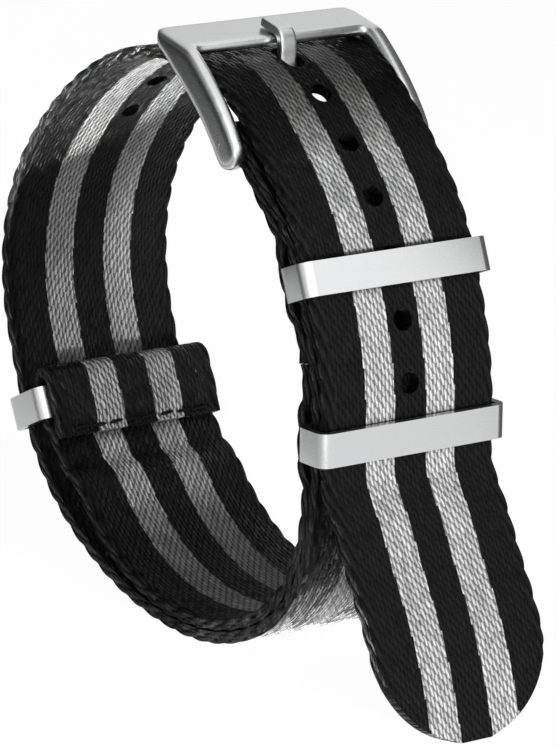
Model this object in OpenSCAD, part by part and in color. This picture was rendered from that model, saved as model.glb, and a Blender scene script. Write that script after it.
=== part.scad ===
// Pull-through webbing watch strap, closed and standing on its side profile.
// X runs across the webbing, Z is up, and Y runs from the free tail towards the back of the loop.
// The origin is on the floor below the middle of the whole strap.

/* [Webbing] */
// Width of the webbing
strap_w = 20; // [18:0.5:22]
// Thickness of one layer of webbing
strap_t = 1.2; // [1:0.05:1.3]
// Air between two layers that lie on each other
layer_gap = 0.15; // [0.1:0.01:0.2]
// Radius of the rounded tip of the tail, seen from the front
tip_r = 10; // [9:0.5:10]

/* [Loop] */
// Height of the closed loop, from the floor to the top of the webbing
loop_h = 59.2; // [57:0.1:61]
// Depth of the closed loop, from the front layer to the back
loop_d = 57.3; // [56:0.1:59]
// Distance that the free tail stands out in front of the loop
tail_reach = 15.3; // [14:0.1:17]

/* [Holes] */
// Diameter of the punched holes
hole_d = 2.2; // [1.8:0.1:2.4]
// Distance from hole to hole along the strap
hole_pitch = 6.1; // [5.8:0.1:6.3]
// Holes between the buckle and the end of the tail
holes_front = 6; // [4:1:6]
// Holes behind the buckle
holes_back = 5; // [3:1:6]
// Distance that the loaded hole is stretched by the tongue
hole_stretch = 2.2; // [2:0.1:2.6]

/* [Buckle] */
// Radius of the hinge pin
pin_r = 0.8; // [0.7:0.05:0.9]
// Radial clearance of the pin in the fold of webbing and in the tongue
pin_fit = 0.08; // [0.05:0.01:0.1]
// Width of the flat front bar, seen from above
bar_w = 5.4; // [4.5:0.1:6]
// Thickness of the front bar
bar_t = 1.2; // [1:0.05:1.3]
// Thickness of each arm, across the strap
arm_t = 1.7; // [1.2:0.1:2]
// Height of each arm, seen from the side
arm_h = 3; // [2.8:0.1:3.4]
// Air between the edge of the webbing and the inside of each arm
arm_gap = 0.25; // [0.2:0.05:0.6]
// Radius of the outer corners of the frame
frame_corner_r = 1.8; // [1:0.1:2.5]
// Width of the tongue
tongue_w = 1.9; // [1.5:0.05:1.9]
// Thickness of the tongue
tongue_t = 0.9; // [0.8:0.05:1]
// Air between the tongue and the bar it rests on
tongue_rest = 0.12; // [0.1:0.01:0.2]

/* [Keepers] */
// Width of the band of each metal keeper, along the strap
band_w = 3.4; // [3:0.1:4]
// Wall of each keeper
band_t = 0.8; // [0.7:0.05:1]
// Air between the edge of the webbing and the inside of a keeper
keeper_side_gap = 0.4; // [0.3:0.05:1]
// Radius of the outer corners of a keeper
keeper_corner_r = 1.2; // [1:0.1:1.5]
// Air between a keeper and each layer of webbing that it touches
keeper_play = 0.2; // [0.15:0.01:0.3]
// Extra depth of the keeper behind the watch, which sits loosely
watch_keeper_slack = 2.1; // [1.8:0.1:2.3]
// Radius of the edges of the metal
edge_r = 0.25; // [0.15:0.05:0.3]

/* [Stitching] */
// Width of a row of stitches, along the strap
tack_w = 0.8; // [0.6:0.1:1]
// Distance from the edge of the webbing to the end of a row
tack_inset = 1.5; // [1:0.1:3]
// Height of the thread above the webbing
tack_rise = 0.1; // [0.05:0.01:0.12]

/* [Hidden] */

$fn = 48;

// A place on the loop: the two shares of its depth and height, and the heading of the webbing there.
// A heading of 0 runs towards the back, 90 runs upwards, and the inside of the loop is on the left.
function place_at(share_y, share_z, heading) =
    [tail_reach + share_y * loop_d, share_z * loop_h, heading];

function along(heading) = [cos(heading), sin(heading)];
function inward(heading) = [-sin(heading), cos(heading)];
function point(place) = [place[0], place[1]];
function beside(place, dist) = point(place) + dist * inward(place[2]);
function beside_place(place, dist) = let (p = beside(place, dist)) [p[0], p[1], place[2]];
function local_place(place, fwd, side, turn) =
    let (p = point(place) + fwd * along(place[2]) + side * inward(place[2]))
    [p[0], p[1], place[2] + turn];

// Half of the turn of an arc that leaves with a heading and covers a chord
function half_turn(heading, chord) =
    let (t = along(heading))
    atan2(t[0] * chord[1] - t[1] * chord[0], t * chord);

// An arc from p to q, without its last point, as [y, z, heading]
function arc(p, heading, q, steps) =
    let (chord = q - p, f = half_turn(heading, chord), straight = abs(f) < 0.01)
    [for (i = [0 : steps - 1])
        let (a = f * i / steps,
             reach = straight ? norm(chord) * i / steps : norm(chord) * sin(a) / sin(f),
             r = p + reach * along(heading + a))
        [r[0], r[1], heading + 2 * a]];

// Two arcs that join two places without a kink
function two_arcs(a, b, steps) =
    let (p = point(a), q = point(b), ta = along(a[2]), tb = along(b[2]), v = q - p,
         w = v * (ta + tb),
         d = (v * v) / (w + sqrt(w * w + 2 * (1 - ta * tb) * (v * v))),
         joint = (p + q + d * (ta - tb)) / 2,
         h = a[2] + 2 * half_turn(a[2], joint - p))
    concat(arc(p, a[2], joint, steps), arc(joint, h, q, steps));

// A smooth route through a list of places
function route(places, steps) =
    concat([for (i = [0 : len(places) - 2]) each two_arcs(places[i], places[i + 1], steps)],
           [places[len(places) - 1]]);

function without_first(list) = [for (i = [1 : len(list) - 1]) list[i]];
function backwards(list) = [for (i = [len(list) - 1 : -1 : 0]) list[i]];
function points(places) = [for (p = places) point(p)];
function rest_of(places, steps) = without_first(points(route(places, steps)));

// Outward-to-inward normal of a row of points, from its neighbours
function row_normal(row, i) =
    let (a = row[max(i - 1, 0)], b = row[min(i + 1, len(row) - 1)], v = (b - a) / norm(b - a))
    [-v[1], v[0]];
function shifted(row, dist) = [for (i = [0 : len(row) - 1]) row[i] + dist * row_normal(row, i)];

// Side profile of a strip of webbing that follows a row of points
function strip(row, thick) = concat(shifted(row, thick / 2), backwards(shifted(row, -thick / 2)));

// Length of a row up to each of its points
function lengths(row) =
    [for (i = 0, s = 0; i < len(row); i = i + 1,
          s = s + (i < len(row) ? norm(row[i] - row[i - 1]) : 0)) s];
function place_on(row, dist) =
    let (s = lengths(row),
         ys = [for (i = [0 : len(row) - 1]) [s[i], row[i][0]]],
         zs = [for (i = [0 : len(row) - 1]) [s[i], row[i][1]]],
         a = [lookup(dist - 0.5, ys), lookup(dist - 0.5, zs)],
         b = [lookup(dist + 0.5, ys), lookup(dist + 0.5, zs)])
    [lookup(dist, ys), lookup(dist, zs), atan2(b[1] - a[1], b[0] - a[0])];

// Smooth rise from 0 to 1 and back round a middle, flat over half_flat on each side
shoulder = 3;
function bump(dist, half_flat) =
    dist < half_flat ? 1
    : dist > half_flat + shoulder ? 0
    : (1 + cos(180 * (dist - half_flat) / shoulder)) / 2;

// Spacing of two stitched layers, and of two layers with the bar of a keeper between them
close_pitch = strap_t + layer_gap;
keeper_pitch = strap_t + band_t + 2 * keeper_play;

// The pin, and the radius of the webbing's middle line round it
pin = place_at(0.298, 0.89, 0);
fold_r = pin_r + pin_fit + strap_t / 2;
function round_pin(angle) = point(pin) + fold_r * along(angle);

// Places of the main strap, from the pin round the loop to the top
fold_heading = 226;
fold_start = round_pin(fold_heading - 90);
at_pin = [fold_start[0], fold_start[1], fold_heading];
at_upper_keeper = place_at(0.088, 0.708, 244);
at_lower_keeper = place_at(0.014, 0.455, 265);
at_front_foot = place_at(0.012, 0.295, 275);
at_floor = [tail_reach + 0.405 * loop_d, strap_t / 2, 360];
at_watch_keeper = place_at(0.891, 0.2416, 419.5);
at_back = [tail_reach + loop_d - strap_t / 2, 0.523 * loop_h, 450];
at_shoulder = place_at(0.815, 0.844, 496);

// The webbing passes under the front bar and over the pin
bar_reach = 9.6;
tail_over_pin = 3.3;
at_top = [pin[0] + bar_reach, loop_h - strap_t / 2, 540];
at_over_pin = [pin[0] - 0.2, pin[1] + tail_over_pin, 574];

// Outside the front layers the tail lies on them down to the lower keeper, then stands free
tip_heading = 250;
function turned(place, by) = [place[0], place[1], place[2] + by];
tail_on_upper = turned(beside_place(at_upper_keeper, -close_pitch), 360);
tail_on_lower = turned(beside_place(at_lower_keeper, -close_pitch), 360);
tip_y = strap_t / 2 * abs(sin(tip_heading));
tip_z = strap_t / 2 * abs(cos(tip_heading));
at_tail_middle = [tail_reach * 0.667, 0.296 * loop_h, 598];
at_tail_low = [tail_reach * 0.255, 0.139 * loop_h, 601];
at_tip = [tip_y, tip_z, tip_heading + 360];

fine = 10;
coarse = 6;
front_route = route([at_pin, at_upper_keeper, at_lower_keeper, at_front_foot], fine);
loop_row = concat(points(front_route),
    rest_of([at_front_foot, at_floor, at_watch_keeper, at_back, at_shoulder, at_top], fine));
over_route = route([at_top, at_over_pin, tail_on_upper], coarse);
pressed_route = [for (p = route([at_upper_keeper, at_lower_keeper], fine)) beside_place(p, -close_pitch)];
tail_leaves = local_place(tail_on_lower, band_w / 2 + 0.5, 0, -3);
free_route = route([tail_on_lower, tail_leaves, at_tail_middle, at_tail_low, at_tip], fine);
tail_row = points(concat(over_route, without_first(pressed_route), without_first(free_route)));

// Half of the stretch in which the layers stay open for a keeper
keeper_room = band_w / 2 + 0.5;

// The inner layer of the front, which opens round the pin and round the bars of two keepers
function inner_pitch(p) =
    close_pitch
    + (2 * fold_r - close_pitch) * bump(norm(p - point(at_pin)), 0)
    + (keeper_pitch - close_pitch) * bump(norm(p - point(at_upper_keeper)), keeper_room)
    + (keeper_pitch - close_pitch) * bump(norm(p - point(at_lower_keeper)), keeper_room);
inner_row = [for (p = front_route) beside(p, inner_pitch(point(p)))];

// The fold-over ends, and the short strap begins, half way between the two keepers
butt_gap = 0.3;
function distance_to(place, p) = (p - point(place)) * along(place[2]);
front_points = points(front_route);
upper_keeper_dist = lengths(front_points)[2 * fine];
lower_keeper_dist = lengths(front_points)[4 * fine];
butt_dist = (upper_keeper_dist + lower_keeper_dist) / 2;
at_butt = place_on(front_points, butt_dist);
fold_over_row = [for (p = inner_row) if (distance_to(at_butt, p) < -butt_gap / 2) p];
short_front_row = [for (p = inner_row) if (distance_to(at_butt, p) > butt_gap / 2) p];

pin_steps = 14;
pin_row = [for (i = [1 : pin_steps - 1]) round_pin(fold_heading - 270 + 180 * i / pin_steps)];
main_row = concat(backwards(fold_over_row), pin_row, loop_row, without_first(tail_row));

// The short strap: inside the main strap round the floor, then up to a fold round its keeper.
// The bar of that keeper lies between bar_near and bar_far, measured inwards from the main layer.
watch_keeper_side = strap_t / 2 + keeper_play;
bar_near = strap_t + watch_keeper_side + watch_keeper_slack + 2 * keeper_play - strap_t / 2;
bar_far = bar_near + band_t;
fold_near = bar_near - keeper_play - strap_t / 2;
fold_far = bar_far + keeper_play + strap_t / 2;
fold_mid = (fold_near + fold_far) / 2;
fold_foot = -band_w / 2 - 0.3;
roll_top = band_w / 2 + 1.5;
fold_top = roll_top - (fold_far - fold_near) / 2;
seam = fold_foot - 1.4;
seam_end = seam - 0.7;
seam_side = fold_far - 0.3;
seam_inner_side = seam_side - close_pitch;
function in_fold(fwd, side, turn) = local_place(at_watch_keeper, fwd, side, turn);
short_floor = [at_floor[0], strap_t / 2 + close_pitch, 360];
short_rise = place_at(0.704, 0.15, 406);
before_seam = in_fold(seam_end - 2, seam_inner_side + 0.5, -8);
fold_starts = in_fold(fold_top, fold_near, 0);
fold_ends = in_fold(fold_top, fold_far, 180);
sharp = 3;
short_row = concat(
    short_front_row,
    rest_of([beside_place(at_front_foot, close_pitch), short_floor, short_rise, before_seam], fine),
    rest_of([before_seam, in_fold(seam, seam_inner_side, 2), in_fold(fold_foot, fold_near, 0),
             fold_starts], sharp),
    rest_of([fold_starts, in_fold(roll_top, fold_mid, 90), fold_ends], coarse),
    rest_of([fold_ends, in_fold(fold_foot, fold_far, 180), in_fold(seam, seam_side, 180),
             in_fold(seam_end, seam_side, 180)], sharp));

// The whole strap is centred over the origin
main_outline = strip(main_row, strap_t);
middle_y = (min([for (p = main_outline) p[0]]) + max([for (p = main_outline) p[0]])) / 2;

// Turns a drawing of the side profile into a slab across the strap
module across(width) {
    translate([0, -middle_y, 0])
        rotate([90, 0, 90])
            linear_extrude(height = width, center = true)
                children();
}

// Puts children on the strap: their Y runs along the webbing and their Z points into the loop
module on_strap(place) {
    translate([0, place[0] - middle_y, place[1]])
        rotate([place[2], 0, 0])
            children();
}

module rounded_box_2d(size_x, size_y, r) {
    square([size_x - 2 * r, size_y], center = true);
    square([size_x, size_y - 2 * r], center = true);
    for (sx = [-1, 1], sy = [-1, 1])
        translate([sx * (size_x / 2 - r), sy * (size_y / 2 - r)])
            circle(r = r);
}

// Holes

tongue_hole_y = pin[0] + 5.5;
from_back = points(route([at_back, at_shoulder, at_top], fine));
holed_row = concat(from_back, without_first(tail_row));
before_top = lengths(from_back)[len(from_back) - 1];
tongue_hole_dist = before_top + lookup(-tongue_hole_y,
    [for (i = [0 : 2 * coarse]) [-tail_row[i][0], lengths(tail_row)[i]]]);
tongue_hole = place_on(holed_row, tongue_hole_dist);

module punch(place) {
    on_strap(place)
        cylinder(d = hole_d, h = 2 * strap_t, center = true);
}

module holes() {
    for (i = [-holes_back : holes_front])
        if (i != 0)
            punch(place_on(holed_row, tongue_hole_dist + i * hole_pitch));
}

// The hole that the tongue has drawn out along the strap
module stretched_hole() {
    on_strap(tongue_hole) {
        for (side = [-1, 1])
            translate([0, side * hole_stretch / 2, 0])
                cylinder(d = hole_d, h = 2 * strap_t, center = true);
        cube([hole_d, hole_stretch, 2 * strap_t], center = true);
    }
}

// Round the pin, square to the side profile
module at_the_pin(r, width) {
    on_strap(pin)
        rotate([0, 90, 0])
            cylinder(r = r, h = width, center = true);
}

// Slot in the fold of webbing for the tongue's eye
slot_gap = 0.35;
slot_r = fold_r + strap_t / 2 + 0.4;

// Rounds the end of the tail, seen square to its face
module tip_rounding() {
    on_strap(at_tip)
        linear_extrude(height = 6 * strap_t, center = true)
            for (side = [-1, 1])
                difference() {
                    translate([side * strap_w / 2, 0])
                        square(2 * tip_r, center = true);
                    translate([side * (strap_w / 2 - tip_r), -tip_r])
                        circle(r = tip_r);
                }
}

// A row of stitches through two layers, with its thread standing slightly proud
module tack(place) {
    on_strap(place)
        translate([0, 0, close_pitch / 2])
            cube([strap_w - 2 * tack_inset, tack_w, close_pitch + strap_t + 2 * tack_rise], center = true);
}

// Webbing left between a row of stitches and the cut edge beside it
tack_edge = 0.5;
buckle_tack_at = place_on(front_points, upper_keeper_dist / 2 - 1);
fold_end_tack_at = place_on(front_points, butt_dist - butt_gap / 2 - tack_edge - tack_w / 2);
short_strap_tack_at = place_on(front_points, butt_dist + butt_gap / 2 + tack_edge + tack_w / 2);
lower_keeper_tack_at = place_on(front_points, lower_keeper_dist + keeper_room + shoulder + tack_w / 2);
watch_tack_at = in_fold(seam, seam_inner_side, 0);

module all_tacks() {
    tack(buckle_tack_at);
    tack(fold_end_tack_at);
    tack(short_strap_tack_at);
    tack(lower_keeper_tack_at);
    tack(watch_tack_at);
}

module main_strap() {
    color("dimgray")
        difference() {
            across(strap_w)
                polygon(main_outline);
            holes();
            stretched_hole();
            at_the_pin(slot_r, tongue_w + 2 * slot_gap);
            at_the_pin(pin_r + pin_fit, 2 * strap_w);
            tip_rounding();
            all_tacks();
        }
}

module short_strap() {
    color("gray")
        difference() {
            across(strap_w)
                polygon(strip(short_row, strap_t));
            all_tacks();
        }
}

module buckle_tack() {
    color("black")
        tack(buckle_tack_at);
}

module fold_end_tack() {
    color("black")
        tack(fold_end_tack_at);
}

module short_strap_tack() {
    color("black")
        tack(short_strap_tack_at);
}

module lower_keeper_tack() {
    color("black")
        tack(lower_keeper_tack_at);
}

module watch_keeper_tack() {
    color("black")
        tack(watch_tack_at);
}

// Keepers

keeper_inner_w = strap_w + 2 * keeper_side_gap;
keeper_outer_w = keeper_inner_w + 2 * band_t;

// A flat metal ring: its Z runs from outer_z to outer_z + depth, and its band runs along Y
module keeper(outer_z, depth) {
    translate([0, 0, outer_z + depth / 2])
        intersection() {
            rotate([90, 0, 0])
                linear_extrude(height = band_w, center = true)
                    difference() {
                        rounded_box_2d(keeper_outer_w, depth, keeper_corner_r);
                        square([keeper_inner_w, depth - 2 * band_t], center = true);
                    }
            rotate([90, 0, 90])
                linear_extrude(height = keeper_outer_w + 1, center = true)
                    rounded_box_2d(band_w, depth, edge_r);
            linear_extrude(height = depth + 1, center = true)
                rounded_box_2d(keeper_outer_w, band_w, edge_r);
        }
}

front_keeper_outer = -(strap_t / 2 + close_pitch + keeper_play + band_t);
front_keeper_depth = -front_keeper_outer + strap_t / 2 + keeper_play + band_t;

module upper_keeper() {
    color("silver")
        on_strap(at_upper_keeper)
            keeper(front_keeper_outer, front_keeper_depth);
}

module lower_keeper() {
    color("silver")
        on_strap(at_lower_keeper)
            keeper(front_keeper_outer, front_keeper_depth);
}

module watch_keeper() {
    color("silver")
        on_strap(at_watch_keeper)
            keeper(-watch_keeper_side - band_t, watch_keeper_side + band_t + bar_far);
}

// Buckle, drawn from the pin

frame_inner_w = strap_w + 2 * arm_gap;
frame_outer_w = frame_inner_w + 2 * arm_t;

// The outer face of the bar runs from its near edge at a slope
bar_slope = 8;
bar_air = 0.3;
bar_near_y = bar_reach - bar_w / 2;
bar_near_z = at_top[1] - pin[1] + strap_t / 2 + bar_air + bar_t;
bar_near_edge = [bar_near_y, bar_near_z];
bar_far_edge = bar_near_edge + bar_w * along(bar_slope);
bar_down = [sin(bar_slope), -cos(bar_slope)];

// Middle line and half height of an arm, from its round end past the pin up to the bar
arm_end = [-1.1, -0.6, 52];
arm_middle = [bar_near_y - 0.6, bar_near_z - 2.1, 33];
arm_far = bar_far_edge + bar_t / 2 * bar_down - 0.3 * along(bar_slope);
arm_far_half = bar_t / 2 - 0.1;
arm_route = route([arm_end, arm_middle, [arm_far[0], arm_far[1], bar_slope]], 4);
arm_row = points(arm_route);
taper_from = 0.55;
function arm_half(i) =
    let (u = max(i / (len(arm_row) - 1) - taper_from, 0) / (1 - taper_from))
    arm_far_half + (arm_h / 2 - arm_far_half) * (1 + cos(180 * u)) / 2;

module arm_profile() {
    polygon(concat(
        [for (i = [0 : len(arm_row) - 1]) arm_row[i] + arm_half(i) * row_normal(arm_row, i)],
        backwards([for (i = [0 : len(arm_row) - 1]) arm_row[i] - arm_half(i) * row_normal(arm_row, i)])));
    translate(point(arm_end))
        circle(r = arm_h / 2);
}

module bar_profile() {
    translate(bar_near_edge + bar_t / 2 * bar_down)
        rotate(bar_slope)
            translate([bar_w / 2, 0])
                rounded_box_2d(bar_w, bar_t, edge_r);
}

// Slab across the strap of a drawing that starts at the pin
module across_pin(width) {
    translate([0, pin[0] - middle_y, pin[1]])
        rotate([90, 0, 90])
            linear_extrude(height = width, center = true)
                children();
}

// Rounds the two corners where the bar meets the arms, seen from above
corner_margin = 0.3;
frame_back = bar_far_edge[0] + corner_margin;
module frame_corners() {
    translate([0, pin[0] - middle_y + frame_back, 0])
        linear_extrude(height = 2 * loop_h)
            for (side = [-1, 1])
                difference() {
                    translate([side * frame_outer_w / 2, 0])
                        square(2 * frame_corner_r, center = true);
                    translate([side * (frame_outer_w / 2 - frame_corner_r), -frame_corner_r])
                        circle(r = frame_corner_r);
                }
}

module buckle_frame() {
    color("silver")
        difference() {
            union() {
                across_pin(frame_outer_w)
                    bar_profile();
                for (side = [-1, 1])
                    translate([side * (frame_inner_w + arm_t) / 2, 0, 0])
                        across_pin(arm_t)
                            arm_profile();
            }
            frame_corners();
            at_the_pin(pin_r, 2 * frame_outer_w);
        }
}

module buckle_pin() {
    color("gray")
        at_the_pin(pin_r, frame_outer_w);
}

// Tongue: an eye on the pin, a rise through the loaded hole and a flat tip on the bar
eye_inner_r = pin_r + pin_fit;
eye_r = eye_inner_r + tongue_t / 2;
tongue_tip = 2.5;
tongue_in_hole = [bar_near_y - tongue_t / 2 - 1, tongue_hole[1] - pin[1], 68];
tongue_bend = [bar_near_y - tongue_t / 2 - 0.35, bar_near_z - 0.15, 72];
function tongue_over(y) =
    let (z = bar_near_z + (y - bar_near_y) * tan(bar_slope) + (tongue_t / 2 + tongue_rest) / cos(bar_slope))
    [y, z, bar_slope];
tongue_start = [0, eye_r - 0.08, 0];
tongue_route = route([tongue_start, tongue_in_hole, tongue_bend, tongue_over(bar_near_y + 1.5),
    tongue_over(bar_near_y + tongue_tip)], coarse);

module buckle_tongue() {
    color("silver")
        difference() {
            union() {
                at_the_pin(eye_r + tongue_t / 2, tongue_w);
                across_pin(tongue_w)
                    polygon(strip(points(tongue_route), tongue_t));
            }
            at_the_pin(eye_inner_r, 2 * tongue_w);
        }
}

main_strap();
short_strap();
buckle_frame();
buckle_pin();
buckle_tongue();
upper_keeper();
lower_keeper();
watch_keeper();
buckle_tack();
fold_end_tack();
short_strap_tack();
lower_keeper_tack();
watch_keeper_tack();
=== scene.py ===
# %% [markdown]
# # A nylon watch strap
# The real object is a pull-through strap: one long piece of woven nylon, a short second piece inside it,
# a pin buckle and three metal rings. The CAD model already has every piece in its place. This lesson
# dresses it: the webbing is made flat, punched and then laid along its route, the metal is drawn and
# bevelled, and each finish is a set of nodes.

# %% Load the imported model
import math

import bmesh
import bpy
import numpy as np
from mathutils import Matrix, Vector


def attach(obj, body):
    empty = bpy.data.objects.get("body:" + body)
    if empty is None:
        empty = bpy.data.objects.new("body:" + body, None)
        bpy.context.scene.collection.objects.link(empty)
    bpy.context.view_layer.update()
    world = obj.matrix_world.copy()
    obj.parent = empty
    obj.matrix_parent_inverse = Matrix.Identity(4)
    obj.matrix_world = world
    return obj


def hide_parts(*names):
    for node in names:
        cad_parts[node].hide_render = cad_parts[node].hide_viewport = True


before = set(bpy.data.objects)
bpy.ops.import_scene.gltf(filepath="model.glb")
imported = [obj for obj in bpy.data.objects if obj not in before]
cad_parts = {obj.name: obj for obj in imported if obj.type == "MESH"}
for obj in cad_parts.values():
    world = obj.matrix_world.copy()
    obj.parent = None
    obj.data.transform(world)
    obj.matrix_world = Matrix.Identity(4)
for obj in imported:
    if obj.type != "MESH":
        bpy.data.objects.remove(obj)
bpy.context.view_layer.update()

scene = bpy.context.scene
MM = 0.001

# %% [markdown]
# ## Camera
# The photograph was taken with a long lens from the front left and a little above. The place, the aim
# and the focal length were found by matching corners of the buckle and of the rings, so the camera is
# given by its three directions. The picture is upright, so its long side is the sensor's 36 mm.

# %% Camera
FOCAL_PIXELS = 4826
PICTURE_HEIGHT = 748
SENSOR_MM = 36
NEAR_CLIP = 0.01
camera_place = Vector((-273.4, -368.8, 180.5)) * MM
camera_right = Vector((0.8141, -0.5772, 0.0633))
camera_up = Vector((0.1356, 0.2948, 0.9459))
camera_back = camera_right.cross(camera_up).normalized()
camera_up = camera_back.cross(camera_right).normalized()

bpy.ops.object.camera_add(location=camera_place)
camera = bpy.context.object
turn = Matrix((camera_right.normalized(), camera_up, camera_back)).transposed()
camera.rotation_euler = turn.to_euler()
camera.data.sensor_width = SENSOR_MM
camera.data.lens = FOCAL_PIXELS / PICTURE_HEIGHT * SENSOR_MM
camera.data.clip_start = NEAR_CLIP
scene.camera = camera
print("lens in mm:", round(camera.data.lens, 1))

# %% [markdown]
# ## The route of the webbing
# Webbing that is bent keeps its length and curves smoothly, so its side view is a chain of arcs. Each
# place on it has a depth, a height and a heading: 0 runs to the back, 90 runs up, and the inside of the
# loop is on the left. Two arcs join two places without a kink. These are the CAD model's own
# millimetres, so the cloth lies where its solid does.

# %% Places and arcs
LOOP_HEIGHT = 59.2
LOOP_DEPTH = 57.3
TAIL_REACH = 15.3
WEBBING_WIDTH = 20.0
WEBBING = 1.2
CLOSE_PITCH = WEBBING + 0.15
BAND = 3.4
BAND_WALL = 0.8
PLAY = 0.2
KEEPER_PITCH = WEBBING + BAND_WALL + 2 * PLAY
KEEPER_ROOM = BAND / 2 + 0.5
ARC_STEPS = 24
STRAIGHT = 0.01


def direction(heading):
    """Unit vector of a heading in degrees, as depth and height."""
    return np.array([math.cos(math.radians(heading)), math.sin(math.radians(heading))])


def inward(heading):
    """Unit vector towards the inside of the loop."""
    return direction(heading + 90)


def place(share_depth, share_height, heading):
    """A place, by its shares of the loop's depth and height."""
    return np.array([TAIL_REACH + share_depth * LOOP_DEPTH, share_height * LOOP_HEIGHT, heading])


def moved(at, forward, inwards, turned=0):
    """A place moved along its heading and inwards, and turned."""
    point = at[:2] + forward * direction(at[2]) + inwards * inward(at[2])
    return np.array([*point, at[2] + turned])


def half_turn(heading, chord):
    """Angle from a heading to a chord: half of what its arc turns."""
    ahead = direction(heading)
    return math.degrees(math.atan2(ahead[0] * chord[1] - ahead[1] * chord[0], ahead @ chord))


def arc(start, heading, end, steps):
    """Points of one arc, without its end."""
    chord = end - start
    half = half_turn(heading, chord)
    rows = []
    for i in range(steps):
        part = half * i / steps
        straight = abs(half) < STRAIGHT
        share = i / steps if straight else math.sin(math.radians(part)) / math.sin(math.radians(half))
        rows.append(start + np.linalg.norm(chord) * share * direction(heading + part))
    return rows


def two_arcs(first, last, steps):
    """Points of the two arcs that join two places without a kink."""
    start, end = first[:2], last[:2]
    leaves, arrives = direction(first[2]), direction(last[2])
    gap = end - start
    ahead = gap @ (leaves + arrives)
    reach = (gap @ gap) / (ahead + math.sqrt(ahead * ahead + 2 * (1 - leaves @ arrives) * (gap @ gap)))
    joint = (start + end + reach * (leaves - arrives)) / 2
    at_joint = first[2] + 2 * half_turn(first[2], joint - start)
    return arc(start, first[2], joint, steps) + arc(joint, at_joint, end, steps)


def route(*places, steps=ARC_STEPS):
    """Points of the route through several places."""
    rows = []
    for first, last in zip(places, places[1:]):
        rows += two_arcs(first, last, steps)
    return rows + [places[-1][:2]]


print("loop in mm:", LOOP_DEPTH, "x", LOOP_HEIGHT)

# %% [markdown]
# ## The main strap
# On the object this one band starts inside the front, runs up and round the pin, down the front, round
# the loop, out through the buckle and down to the tip. Its places were measured in the photograph, and
# the headings past 360 count the turns. The outer tail repeats the front's route, one layer further out.

# %% The main strap, from the fold at the pin to the tip of the tail
PIN_RADIUS = 0.8
PIN_FIT = 0.08
FOLD_HEADING = 226
TAIL_OVER_PIN = 3.3
TAIL_BEHIND_PIN = 0.2
BAR_REACH = 9.6
TIP_HEADING = 250
pin = place(0.298, 0.89, 0)
fold_radius = PIN_RADIUS + PIN_FIT + WEBBING / 2


def round_pin(angle):
    return pin[:2] + fold_radius * direction(angle)


at_pin = np.array([*round_pin(FOLD_HEADING - 90), FOLD_HEADING])
at_upper_keeper = place(0.088, 0.708, 244)
at_lower_keeper = place(0.014, 0.455, 265)
at_front_foot = place(0.012, 0.295, 275)
at_floor = np.array([TAIL_REACH + 0.405 * LOOP_DEPTH, WEBBING / 2, 360])
at_watch_keeper = place(0.891, 0.2416, 419.5)
at_back = np.array([TAIL_REACH + LOOP_DEPTH - WEBBING / 2, 0.523 * LOOP_HEIGHT, 450])
at_shoulder = place(0.815, 0.844, 496)
at_top = np.array([pin[0] + BAR_REACH, LOOP_HEIGHT - WEBBING / 2, 540])
at_over_pin = np.array([pin[0] - TAIL_BEHIND_PIN, pin[1] + TAIL_OVER_PIN, 574])

front_row = route(at_pin, at_upper_keeper, at_lower_keeper, at_front_foot)
loop_row = front_row + route(at_front_foot, at_floor, at_watch_keeper, at_back, at_shoulder, at_top)[1:]
tail_on_upper = moved(at_upper_keeper, 0, -CLOSE_PITCH, 360)
tail_on_lower = moved(at_lower_keeper, 0, -CLOSE_PITCH, 360)


def row_normals(row):
    """Unit vectors across a row, towards the inside."""
    row = np.array(row)
    along = np.gradient(row, axis=0)
    along /= np.linalg.norm(along, axis=1)[:, None]
    return np.stack([-along[:, 1], along[:, 0]], 1)


def beside(row, distance):
    """A row moved across, by one distance or by one for each point."""
    return list(np.array(row) + np.reshape(distance, (-1, 1)) * row_normals(row))


tail_leaves = moved(tail_on_lower, KEEPER_ROOM, 0, -3)
at_tail_middle = np.array([TAIL_REACH * 0.667, 0.296 * LOOP_HEIGHT, 598])
at_tail_low = np.array([TAIL_REACH * 0.255, 0.139 * LOOP_HEIGHT, 601])
at_tip = np.array([*(WEBBING / 2 * np.abs(inward(TIP_HEADING))), TIP_HEADING + 360])
tail_row = (
    route(at_top, at_over_pin, tail_on_upper)
    + beside(route(at_upper_keeper, at_lower_keeper), -CLOSE_PITCH)[1:]
    + route(tail_on_lower, tail_leaves, at_tail_middle, at_tail_low, at_tip)[1:]
)
print("tail length in mm:", round(float(np.linalg.norm(np.diff(tail_row, axis=0), axis=1).sum()), 1))

# %% [markdown]
# ## The layers that lie on each other
# In front, the fold-over of the main strap and then the short strap lie inside the main layer. They
# open a little, by a smooth bump, where the bar of a ring passes between them. The two cut ends meet
# half-way between the rings, nearly end to end.

# %% The inner layer of the front
SHOULDER = 3
BUTT_GAP = 0.06
LOOK_AROUND = 0.5
PIN_STEPS = 20


def bump(distance, half_flat):
    """1 near a place, 0 past its shoulder, and a smooth step between."""
    if distance < half_flat:
        return 1
    if distance > half_flat + SHOULDER:
        return 0
    return (1 + math.cos(math.pi * (distance - half_flat) / SHOULDER)) / 2


def inner_pitch(point):
    """Distance of the inner layer from the main one."""
    opening = KEEPER_PITCH - CLOSE_PITCH
    return (
        CLOSE_PITCH
        + (2 * fold_radius - CLOSE_PITCH) * bump(np.linalg.norm(point - at_pin[:2]), 0)
        + opening * bump(np.linalg.norm(point - at_upper_keeper[:2]), KEEPER_ROOM)
        + opening * bump(np.linalg.norm(point - at_lower_keeper[:2]), KEEPER_ROOM)
    )


def lengths(row):
    """Run of each point of a row from its start."""
    return np.concatenate([[0], np.cumsum(np.linalg.norm(np.diff(row, axis=0), axis=1))])


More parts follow.
